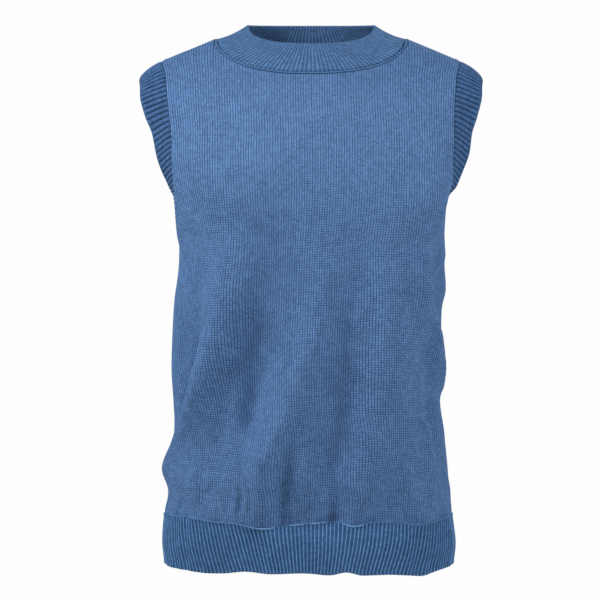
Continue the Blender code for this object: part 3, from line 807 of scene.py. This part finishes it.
def build_neckband(seams):
    """The neckband, from the wearer's right round the front to the left and back."""
    fine = np.linspace(0, 1, 4 * FINE)
    necks = [even_steps(seams[side]["neck"], fine)[0] for side in (FRONT, BACK)]
    seam = joined(*necks)
    angles = neck_angles(seam)
    in_front = np.cos(angles) > 0
    reach = np.where(in_front, NECKBAND_REACH[FRONT], NECKBAND_REACH[BACK])
    middle_z = np.where(in_front, NECKBAND_TOP_Z[FRONT], NECKBAND_TOP_Z[BACK])
    climb = (1 - np.abs(np.cos(angles))) ** NECKBAND_RISE
    top_z = middle_z + (NECKBAND_SIDE_Z - middle_z) * climb
    edge = np.stack([NECKBAND_HALF * np.sin(angles), -reach * np.cos(angles), top_z], axis=-1)
    bend = (seam + edge) / 2
    bend[:, 2] -= NECKBAND_SINK * climb
    phase = np.linspace(0, NECK_RIBS, NECK_RIBS * COLUMNS_PER_RIB + 1)
    seam, bend, edge = even_steps(seam, phase / NECK_RIBS, bend, edge)
    foot = FOOT_STEPS / NECKBAND_LENGTH
    rows = np.concatenate([foot, np.linspace(foot[-1], 1, NECKBAND_ROWS + 1)[1:]])
    surface = band_surface(seam, bend, edge, rows)
    outward = ring_outward(surface)
    along = lengths_along(surface, axis=1)
    place = np.clip(along / CORD_WIDTH, 0, 1)
    raised = faded(CORD_FADE, np.abs(np.cos(neck_angles(seam))))[:, None]
    cord = CORD_RISE * np.sqrt(np.clip(1 - (2 * place - 1) ** 2, 0, 1)) * raised
    groove = swell(GROOVE, along) * raised
    grown = faded(NECK_RIB_FOOT, along) * faded(NECK_RIB_EDGE, along[:, -1:] - along)
    rib = NECK_RIB_DEPTH * (ridge(phase, NECK_RIB_SHARPNESS)[:, None] - 1) * grown
    outer = surface + outward * (rib + cord + groove)[..., None]
    inner = surface - outward * (NECKBAND_WALL + RIB_THROUGH * rib)[..., None]
    # Painted shade: the neckband's foot, cord and groove take the dark colour of a rib's groove, all but a
    # lighter crest along the cord.
    marks = (
        Mark(0, CORD_WIDTH + GROOVE_SHADE, IN_GROOVE, raised > 0.5),
        Mark(CORD_WIDTH * (0.5 - CORD_LIGHT), CORD_WIDTH * (0.5 + CORD_LIGHT), ON_CORD, raised > 0.5),
    )
    return wrapped(outer, inner, narrow(phase, NECK_RIB_NARROWING), BAND_STRIPS, marks)


def build_armhole_rib(hand, seams):
    """An armhole rib, hand +1 for the wearer's left and -1 for the right."""
    lines, onwards, lies, places = [], [], [], []
    for side in (FRONT, BACK):
        line, out = seams[side][hand]
        along = unit(np.gradient(line, axis=0))
        line, out, along = even_steps(line, np.linspace(0, 1, 2 * FINE), out, along)
        onward = unit(np.cross(along, out)) * hand * side
        share = shares_along(line)
        at_tip = bell(share, TIP_SHARE)[:, None]
        onward = unit(onward * (1 - at_tip) + np.array((hand, 0, -SHOULDER_SLOPE)) * at_tip)
        outward = smooth_column(ARMHOLE_LIE, "outward", share)
        upward = smooth_column(ARMHOLE_LIE, "upward", share)
        inward = np.sqrt(np.maximum(0, 1 - outward**2 - upward**2))
        lines.append(line)
        places.append(np.repeat(share[:, None], 3, axis=1))
        onwards.append(onward)
        lies.append(np.stack([hand * outward, -side * inward, upward], axis=-1))
    seam = joined(*lines)
    round_shares = joined(*places)
    edge = seam + unit(joined(*lies)) * ARMHOLE_RIB_WIDTH
    ease = np.interp(round_shares[:, :1], EASE_SHARES, ARMHOLE_EASE)
    bend = seam + unit(joined(*onwards)) * ARMHOLE_RIB_WIDTH * ease
    phase = np.linspace(0, ARMHOLE_RIBS, ARMHOLE_RIBS * COLUMNS_PER_BROAD_RIB + 1)
    seam, bend, edge, round_shares = even_steps(seam, phase / ARMHOLE_RIBS, bend, edge, round_shares)
    surface = band_surface(seam, bend, edge, np.linspace(0, 1, ARMHOLE_RIB_ROWS + 1))
    outward = ring_outward(surface) * hand
    along = lengths_along(surface, axis=1)
    to_edge = along[:, -1:] - along
    rolled = np.clip(1 - to_edge / ROLL_WIDTH, 0, 1)
    surface = surface - outward * (ROLL_DEPTH * curled(ROLL_SHARE * rolled))[..., None]
    outward = ring_outward(surface) * hand
    grown = faded(ARMHOLE_RIB_EDGE, to_edge)
    rib = ARMHOLE_RIB_DEPTH * (ridge(phase, ARMHOLE_RIB_SHARPNESS)[:, None] - 1) * grown
    deepest = TUCK + TUCK_MORE_LOW * faded(LOW_ARMHOLE, round_shares[:, :1])
    tucked = deepest * (1 - faded(TUCK_FADE, along))
    outer = surface + outward * (rib - tucked)[..., None]
    inner = surface - outward * (RIB_WALL + tucked + RIB_THROUGH * rib)[..., None]
    return wrapped(outer, inner, phase, BAND_STRIPS)


def build_hem_rib(side):
    """One hem rib, wearer's right to left, its side edges rolled in."""
    girth = GIRTHS[side]
    ribs = HEM_RIBS[side]
    phase = np.linspace(0, ribs, ribs * COLUMNS_PER_RIB + 1)
    shares = (phase / ribs * 2 - 1)[:, None]
    up = np.concatenate([np.linspace(0, HEM_ROWS_TO, HEM_ROWS), HEM_LAST_ROWS])
    columns = shares * girth.side_columns
    low = HEM_Z + hem_wave(girth, columns, "edge")
    high = HEM_SEAM_Z - BAND_GAP + hem_wave(girth, columns, "seam")
    heights = low + (high - low) * up
    lean = HEM_RIB_LEAN * np.sin(shares * math.pi) * (1 - up)
    cloth, outward = worn_cloth(side, girth.turn_at_share(shares - lean, heights), heights)
    across = lengths_along(cloth)
    away = np.minimum(across, across[-1] - across)
    at_edge = 1 - np.clip(away / SIDE_ROLL, 0, 1)
    grown = faded(HEM_RIB_TOP, 1 - up) * (1 - at_edge)
    rib = HEM_RIB_DEPTH * (bell(np.abs(phase % 1 - 0.5), HEM_CREST)[:, None] - 1) * grown
    proud = (HEM_PROUD + swell(HEM_SLACK, up)) * (1 - at_edge) + rib - RIB_WALL * curled(at_edge)
    outer = cloth + outward * proud[..., None]
    inner = cloth - outward * RIB_WALL
    seam_line = Mark(0, HEM_SEAM_LIGHT, ON_RIDGE, np.full((len(phase), 1), True))
    phase = narrow(phase, HEM_RIB_NARROWING)
    return wrapped(outer[:, ::-1], inner[:, ::-1], phase, HEM_STRIPS, (seam_line,))


# ---------------------------------------------------------------- meshes
def made_mesh(bm, name):
    mesh = bpy.data.meshes.new(name)
    bm.to_mesh(mesh)
    bm.free()
    return mesh


def in_scene(name, data):
    obj = bpy.data.objects.new(name, data)
    bpy.context.scene.collection.objects.link(obj)
    return obj


def patch_mesh(patch):
    """A grid mesh laid on a patch's points, with its two UV maps."""
    across, up = patch.points.shape[0] - 1, patch.points.shape[1] - 1
    bm = bmesh.new()
    bmesh.ops.create_grid(bm, x_segments=across, y_segments=up, size=0.5)
    mesh = made_mesh(bm, "patch")
    place = np.empty(len(mesh.vertices) * 3)
    mesh.vertices.foreach_get("co", place)
    place = place.reshape(-1, 3)
    i = np.rint((place[:, 0] + 0.5) * across).astype(int)
    j = np.rint((place[:, 1] + 0.5) * up).astype(int)
    mesh.vertices.foreach_set("co", patch.points[i, j].ravel())
    corner = np.empty(len(mesh.loops), np.int32)
    mesh.loops.foreach_get("vertex_index", corner)
    i, j = i[corner], j[corner]
    for name, values in (("stitches", np.stack([patch.u[i, j], patch.v[i, j]], axis=-1)),
                         ("OFBake", patch.bake[i, j])):
        layer = mesh.uv_layers.new(name=name)
        layer.uv.foreach_set("vector", values.astype(np.float32).ravel())
    slots = np.full(len(mesh.polygons), patch.material, np.int32)
    mesh.polygons.foreach_set("material_index", slots)
    return mesh


def knit_piece(name, patches, materials):
    """One closed piece of knit from patches that meet edge to edge."""
    bm = bmesh.new()
    for patch in patches:
        mesh = patch_mesh(patch)
        bm.from_mesh(mesh)
        bpy.data.meshes.remove(mesh)
    edges = [vert for vert in bm.verts if vert.is_boundary]
    bmesh.ops.remove_doubles(bm, verts=edges, dist=WELD)
    bmesh.ops.recalc_face_normals(bm, faces=bm.faces)
    mesh = made_mesh(bm, name)
    mesh.shade_smooth()
    mesh.uv_layers.active = mesh.uv_layers["stitches"]
    mesh.uv_layers["stitches"].active_render = True
    for material in materials:
        mesh.materials.append(material)
    return in_scene(name, mesh)


# ---------------------------------------------------------------- yarn and stitches
class Yarn:
    """Builds a knit material's nodes, most calls adding one and giving back its output.

    u and v count the stitches across and along, and place is the point on the piece.
    """

    def __init__(self, name):
        self.material = bpy.data.materials.new(name)
        self.material.use_nodes = True
        self.tree = self.material.node_tree
        self.shader = self.tree.nodes["Principled BSDF"]
        uv = self.split(self.add("ShaderNodeUVMap", uv_map="stitches").outputs[0])
        self.place = self.add("ShaderNodeTexCoord").outputs["Object"]
        along = self.math("SUBTRACT", self.noise(STRAYING_ALONG), 0.5)
        across = self.math("SUBTRACT", self.noise(STRAYING_ACROSS), 0.5)
        self.u = self.math("MULTIPLY_ADD", across, STRAY_ACROSS, uv[0])
        self.v = self.math("MULTIPLY_ADD", along, STRAY_ALONG, uv[1])

    def add(self, kind, **settings):
        node = self.tree.nodes.new(kind)
        for key, value in settings.items():
            setattr(node, key, value)
        return node

    def feed(self, node, socket, value):
        if isinstance(value, bpy.types.NodeSocket):
            self.tree.links.new(value, node.inputs[socket])
        else:
            node.inputs[socket].default_value = value

    def split(self, vector):
        node = self.add("ShaderNodeSeparateXYZ")
        self.feed(node, 0, vector)
        return node.outputs

    def math(self, operation, *values):
        node = self.add("ShaderNodeMath", operation=operation)
        for k, value in enumerate(values):
            self.feed(node, k, value)
        return node.outputs[0]

    def times(self, first, *others):
        for value in others:
            first = self.math("MULTIPLY", first, value)
        return first

    def off_middle(self, steps):
        """Distance from the middle of each whole step, 0 to 0.5."""
        return self.math("ABSOLUTE", self.math("SUBTRACT", self.math("FRACT", steps), 0.5))

    def map_range(self, value, low, high, new_low=0.0, new_high=1.0, kind="SMOOTHSTEP"):
        node = self.add("ShaderNodeMapRange", interpolation_type=kind)
        for k, number in enumerate((value, low, high, new_low, new_high)):
            self.feed(node, k, number)
        return node.outputs[0]

    def noise(self, kind):
        node = self.add("ShaderNodeTexNoise")
        for socket, value in zip(("Vector", "Scale", "Detail", "Roughness"), (self.place, *kind)):
            self.feed(node, socket, value)
        return node.outputs["Fac"]

    def mix(self, share, first, second, blend="MIX"):
        node = self.add("ShaderNodeMix", data_type="RGBA", blend_type=blend)
        self.feed(node, 0, share)
        self.feed(node, 6, first)
        self.feed(node, 7, second)
        return node.outputs[2]

    def sunk_rows(self, out, leg_rise, depth):
        """1 along the middle of each row of stitches, less between, each leg rising outwards."""
        off = self.off_middle(self.math("MULTIPLY_ADD", out, -leg_rise, self.v))
        between = self.math("SUBTRACT", 1.0, self.map_range(off, *ROW_SPAN))
        return self.math("SUBTRACT", 1.0, self.times(between, depth))

    def each_stitch(self):
        """A different number for every stitch."""
        node = self.add("ShaderNodeTexWhiteNoise", noise_dimensions="2D")
        place = self.add("ShaderNodeCombineXYZ")
        self.feed(place, 0, self.math("FLOOR", self.u))
        self.feed(place, 1, self.math("FLOOR", self.v))
        self.feed(node, "Vector", place.outputs[0])
        return node.outputs[0]


Noise = namedtuple("Noise", "scale detail roughness", defaults=(0.5,))
STRAYING_ACROSS, STRAYING_ALONG = Noise(130.0, 2.0), Noise(95.0, 3.0)
STRAY_ACROSS, STRAY_ALONG = 0.35, 0.9  # how far stitches stray from their column and row
FUZZ, DRIFT, PATCHES = Noise(1500.0, 3.0, 0.65), Noise(14.0, 2.0), Noise(70.0, 3.0)
# Low and high ends of a value, and what each end gives: a tone of the yarn, or a share of depth.
FUZZ_TONE = 0.25, 0.75, 0.88, 1.12
DRIFT_TONE = 0.3, 0.7, 0.97, 1.03
STITCH_TONE = 0.0, 1.0, 0.84, 1.16
PATCH_DEPTH = 0.3, 0.7, 0.7, 1.25
LEG_MIDDLE = 0.0, 0.12, 0.75, 1.0  # where the two legs of a stitch meet
# Distances from the middle of a column, row or loop: where it starts to rise, and where it is full.
COLUMN_SPAN, ROW_SPAN, LOOP_SPAN = (0.5, 0.24), (0.5, 0.14), (0.5, 0.12)
LEG_RISE, RIB_LEG_RISE, LOOP_SWAY = 0.9, 1.2, 0.24  # in rows
FUZZ_BUMP = 0.25  # as a share of a stitch's own bump
STITCH_BUMP = 0.00028
RIB_STITCH_BUMP = 0.00030
YARN_FINISH = {
    "Roughness": 0.88,
    "Specular IOR Level": 0.2,
    "Sheen Weight": 0.06,
    "Sheen Roughness": 0.55,
    "Sheen Tint": (0.45, 0.68, 1.0, 1),
}

# Colours of a knit: crest for the yarn where it stands out, with a little painted light, and hollow for
# painted shade between stitches.
Palette = namedtuple("Palette", "crest hollow")
JERSEY = Palette((0.146, 0.286, 0.545, 1), (0.021, 0.067, 0.196, 1))

# A rib's groove ends and its ridge is full at distances from the ridge's middle, in ribs.
Rib = namedtuple("Rib", "name palette groove_end ridge_full row_depth")
# Each rib's hollow colour is painted shade in its grooves; the neck and armhole ribs are coloured darker
# than the plain knit throughout.
NECK_RIB = Rib("neck_rib", Palette((0.108, 0.226, 0.440, 1), (0.050, 0.122, 0.268, 1)), 0.42, 0.14, 0.30)
HEM_RIB = Rib("hem_rib", Palette((0.146, 0.314, 0.590, 1), (0.031, 0.094, 0.226, 1)), 0.46, 0.10, 0.30)
WIDE_RIB = Rib("wide_rib", Palette((0.064, 0.150, 0.325, 1), (0.008, 0.030, 0.095, 1)), 0.48, 0.38, 0.35)

CHEST_Z, WAIST_Z = -0.12, -0.26  # rows of stitches show more below the bust
CHEST_ROW_DEPTH, WAIST_ROW_DEPTH = 0.44, 0.72
# Painted shade: towards the shoulders the stitches' height falls to this share, so the knit is coloured
# darker there and its bump is a little shallower.
SHOULDER_SHADE_FROM_Z, SHOULDER_SHADE_FULL_Z = -0.085, -0.025
SHOULDER_SHADE_SHARE = 0.80


def finish_knit_with_painted_shade(yarn, height, palette, bump_depth):
    """Yarn coloured lighter where it stands out and dark between stitches, as painted light and painted
    shade, uneven and slightly fuzzy.
    """
    fuzz = yarn.noise(FUZZ)
    tone = yarn.times(
        yarn.map_range(yarn.noise(DRIFT), *DRIFT_TONE),
        yarn.map_range(fuzz, *FUZZ_TONE),
        yarn.map_range(yarn.each_stitch(), *STITCH_TONE, kind="LINEAR"),
    )
    # painted shade in the hollows between stitches, a little painted light on the crests
    body = yarn.mix(height, palette.hollow, palette.crest)
    yarn.feed(yarn.shader, "Base Color", yarn.mix(1.0, body, tone, "MULTIPLY"))
    bump = yarn.add("ShaderNodeBump")
    yarn.feed(bump, "Strength", 1.0)
    yarn.feed(bump, "Distance", bump_depth)
    yarn.feed(bump, "Height", yarn.math("MULTIPLY_ADD", fuzz, FUZZ_BUMP, height))
    yarn.feed(yarn.shader, "Normal", bump.outputs[0])
    set_sockets(yarn.shader, YARN_FINISH)
    return yarn.material


def plain_knit():
    """Face of the plain knit: columns of V stitches."""
    yarn = Yarn("plain_knit_face")
    out = yarn.off_middle(yarn.u)
    column = yarn.map_range(out, *COLUMN_SPAN)
    middle = yarn.map_range(out, *LEG_MIDDLE)
    up = yarn.split(yarn.place)[2]
    depth = yarn.map_range(up, CHEST_Z, WAIST_Z, CHEST_ROW_DEPTH, WAIST_ROW_DEPTH)
    depth = yarn.times(depth, yarn.map_range(yarn.noise(PATCHES), *PATCH_DEPTH))
    # painted shade towards the shoulders
    shoulder_shade = yarn.map_range(up, SHOULDER_SHADE_FROM_Z, SHOULDER_SHADE_FULL_Z, 1.0, SHOULDER_SHADE_SHARE)
    height = yarn.times(column, middle, yarn.sunk_rows(out, LEG_RISE, depth), shoulder_shade)
    return finish_knit_with_painted_shade(yarn, height, JERSEY, STITCH_BUMP)


def purl_knit():
    """Reverse of the plain knit: rows of small round loops."""
    yarn = Yarn("plain_knit_reverse")
    sway = yarn.math("SINE", yarn.times(yarn.u, 2 * math.pi))
    off = yarn.off_middle(yarn.math("MULTIPLY_ADD", sway, LOOP_SWAY, yarn.v))
    return finish_knit_with_painted_shade(yarn, yarn.map_range(off, *LOOP_SPAN), JERSEY, STITCH_BUMP)


def rib_knit(rib):
    """Ribs: a column of stitches on each ridge, and a shaded groove between."""
    yarn = Yarn(rib.name)
    out = yarn.off_middle(yarn.u)
    ridge_face = yarn.map_range(out, rib.groove_end, rib.ridge_full)
    height = yarn.times(ridge_face, yarn.sunk_rows(out, RIB_LEG_RISE, rib.row_depth))
    return finish_knit_with_painted_shade(yarn, height, rib.palette, RIB_STITCH_BUMP)


# ---------------------------------------------------------------- the room
VEST_MIDDLE = Vector((0, 0, -0.29))
FLOOR_Z = -1.37
FLOOR_RADIUS, FLOOR_SIDES = 4.3, 96
FLOOR_PAINT = {
    "Base Color": (0.86, 0.86, 0.85, 1),
    "Roughness": 0.9,
    "Emission Color": (1, 1, 1, 1),
    "Emission Strength": 0.22,
}
SURROUND = {"Color": (0.93, 0.96, 1.0, 1), "Strength": 0.04}  # light from the walls
BACKDROP = {"Color": (0.985, 0.985, 0.985, 1), "Strength": 1.0}  # as it looks behind the vest
LAMP_SPREAD = math.radians(80)  # grids keep the light on the vest

Lamp = namedtuple("Lamp", "name place size power")
LAMPS = (
    Lamp("key", (-1.5, -1.0, 1.2), 0.6, 6.2),
    Lamp("left_front", (-1.6, -1.7, 0.1), 0.8, 2.4),
    Lamp("right_above", (1.5, -1.2, 1.0), 0.8, 3.5),
    Lamp("right_side", (2.2, -0.9, -0.1), 0.8, 3.6),
    Lamp("left_side", (-2.2, -0.4, 0.1), 0.8, 1.3),
    Lamp("behind", (0.8, 2.6, 1.2), 1.8, 9.0),
)


def hang(lamp):
    """A round soft lamp aimed at the vest."""
    data = bpy.data.lights.new(lamp.name, "AREA")
    data.shape = "DISK"
    data.spread = LAMP_SPREAD
    data.size = lamp.size
    data.energy = lamp.power
    obj = in_scene(lamp.name, data)
    obj.location = lamp.place
    obj.rotation_euler = (VEST_MIDDLE - Vector(lamp.place)).to_track_quat("-Z", "Y").to_euler()


def set_sockets(node, values):
    for socket, value in values.items():
        node.inputs[socket].default_value = value


def pale_floor():
    bm = bmesh.new()
    bmesh.ops.create_circle(bm, cap_ends=True, segments=FLOOR_SIDES, radius=FLOOR_RADIUS)
    bmesh.ops.translate(bm, verts=bm.verts, vec=(0, 0, FLOOR_Z))
    floor = in_scene("studio_floor", made_mesh(bm, "studio_floor"))
    paint = bpy.data.materials.new("pale_floor")
    paint.use_nodes = True
    set_sockets(paint.node_tree.nodes["Principled BSDF"], FLOOR_PAINT)
    floor.data.materials.append(paint)


def studio():
    """A pale floor well below the vest, a pale surround and soft lamps."""
    pale_floor()
    world = bpy.data.worlds.new("studio")
    world.use_nodes = True
    bpy.context.scene.world = world
    tree = world.node_tree
    surround = tree.nodes["Background"]
    set_sockets(surround, SURROUND)
    seen = tree.nodes.new("ShaderNodeBackground")
    set_sockets(seen, BACKDROP)
    path = tree.nodes.new("ShaderNodeLightPath")
    both = tree.nodes.new("ShaderNodeMixShader")
    tree.links.new(path.outputs["Is Camera Ray"], both.inputs[0])
    tree.links.new(surround.outputs[0], both.inputs[1])
    tree.links.new(seen.outputs[0], both.inputs[2])
    tree.links.new(both.outputs[0], tree.nodes["World Output"].inputs[0])
    for lamp in LAMPS:
        hang(lamp)
    bpy.context.scene.view_settings.view_transform = "Standard"


# ---------------------------------------------------------------- camera
CAMERA_PLACE = Vector((-0.01265, -2.2, -0.299))
VIEW_WIDTH = 0.69  # across the view at the plane of the shoulders
SENSOR_WIDTH = 36


def camera():
    """A level camera in front of the vest."""
    lens = bpy.data.cameras.new("camera")
    lens.sensor_width = SENSOR_WIDTH
    lens.lens = SENSOR_WIDTH * -CAMERA_PLACE.y / VIEW_WIDTH
    obj = in_scene("camera", lens)
    obj.location = CAMERA_PLACE
    obj.rotation_euler = (math.pi / 2, 0, 0)
    bpy.context.scene.camera = obj


def knit(node, patches, materials):
    """A knitted piece in place of its solid."""
    piece = knit_piece(node + "_knit", patches, materials)
    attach(piece, "root")
    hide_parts(node)


def vest():
    camera()
    studio()
    jersey = plain_knit(), purl_knit()
    neck_rib, hem_rib, wide_rib = (rib_knit(rib) for rib in (NECK_RIB, HEM_RIB, WIDE_RIB))
    panels = {FRONT: "front_panel", BACK: "back_panel"}
    hems = {FRONT: "hem_rib_front", BACK: "hem_rib_back"}
    seams = {}
    for side, node in panels.items():
        patches, seams[side] = build_panel(side)
        knit(node, patches, jersey)
    knit("neckband", build_neckband(seams), (neck_rib,))
    for node, hand in (("armhole_rib_left", 1), ("armhole_rib_right", -1)):
        knit(node, build_armhole_rib(hand, seams), (wide_rib,))
    for side, node in hems.items():
        knit(node, build_hem_rib(side), (hem_rib,))


vest()
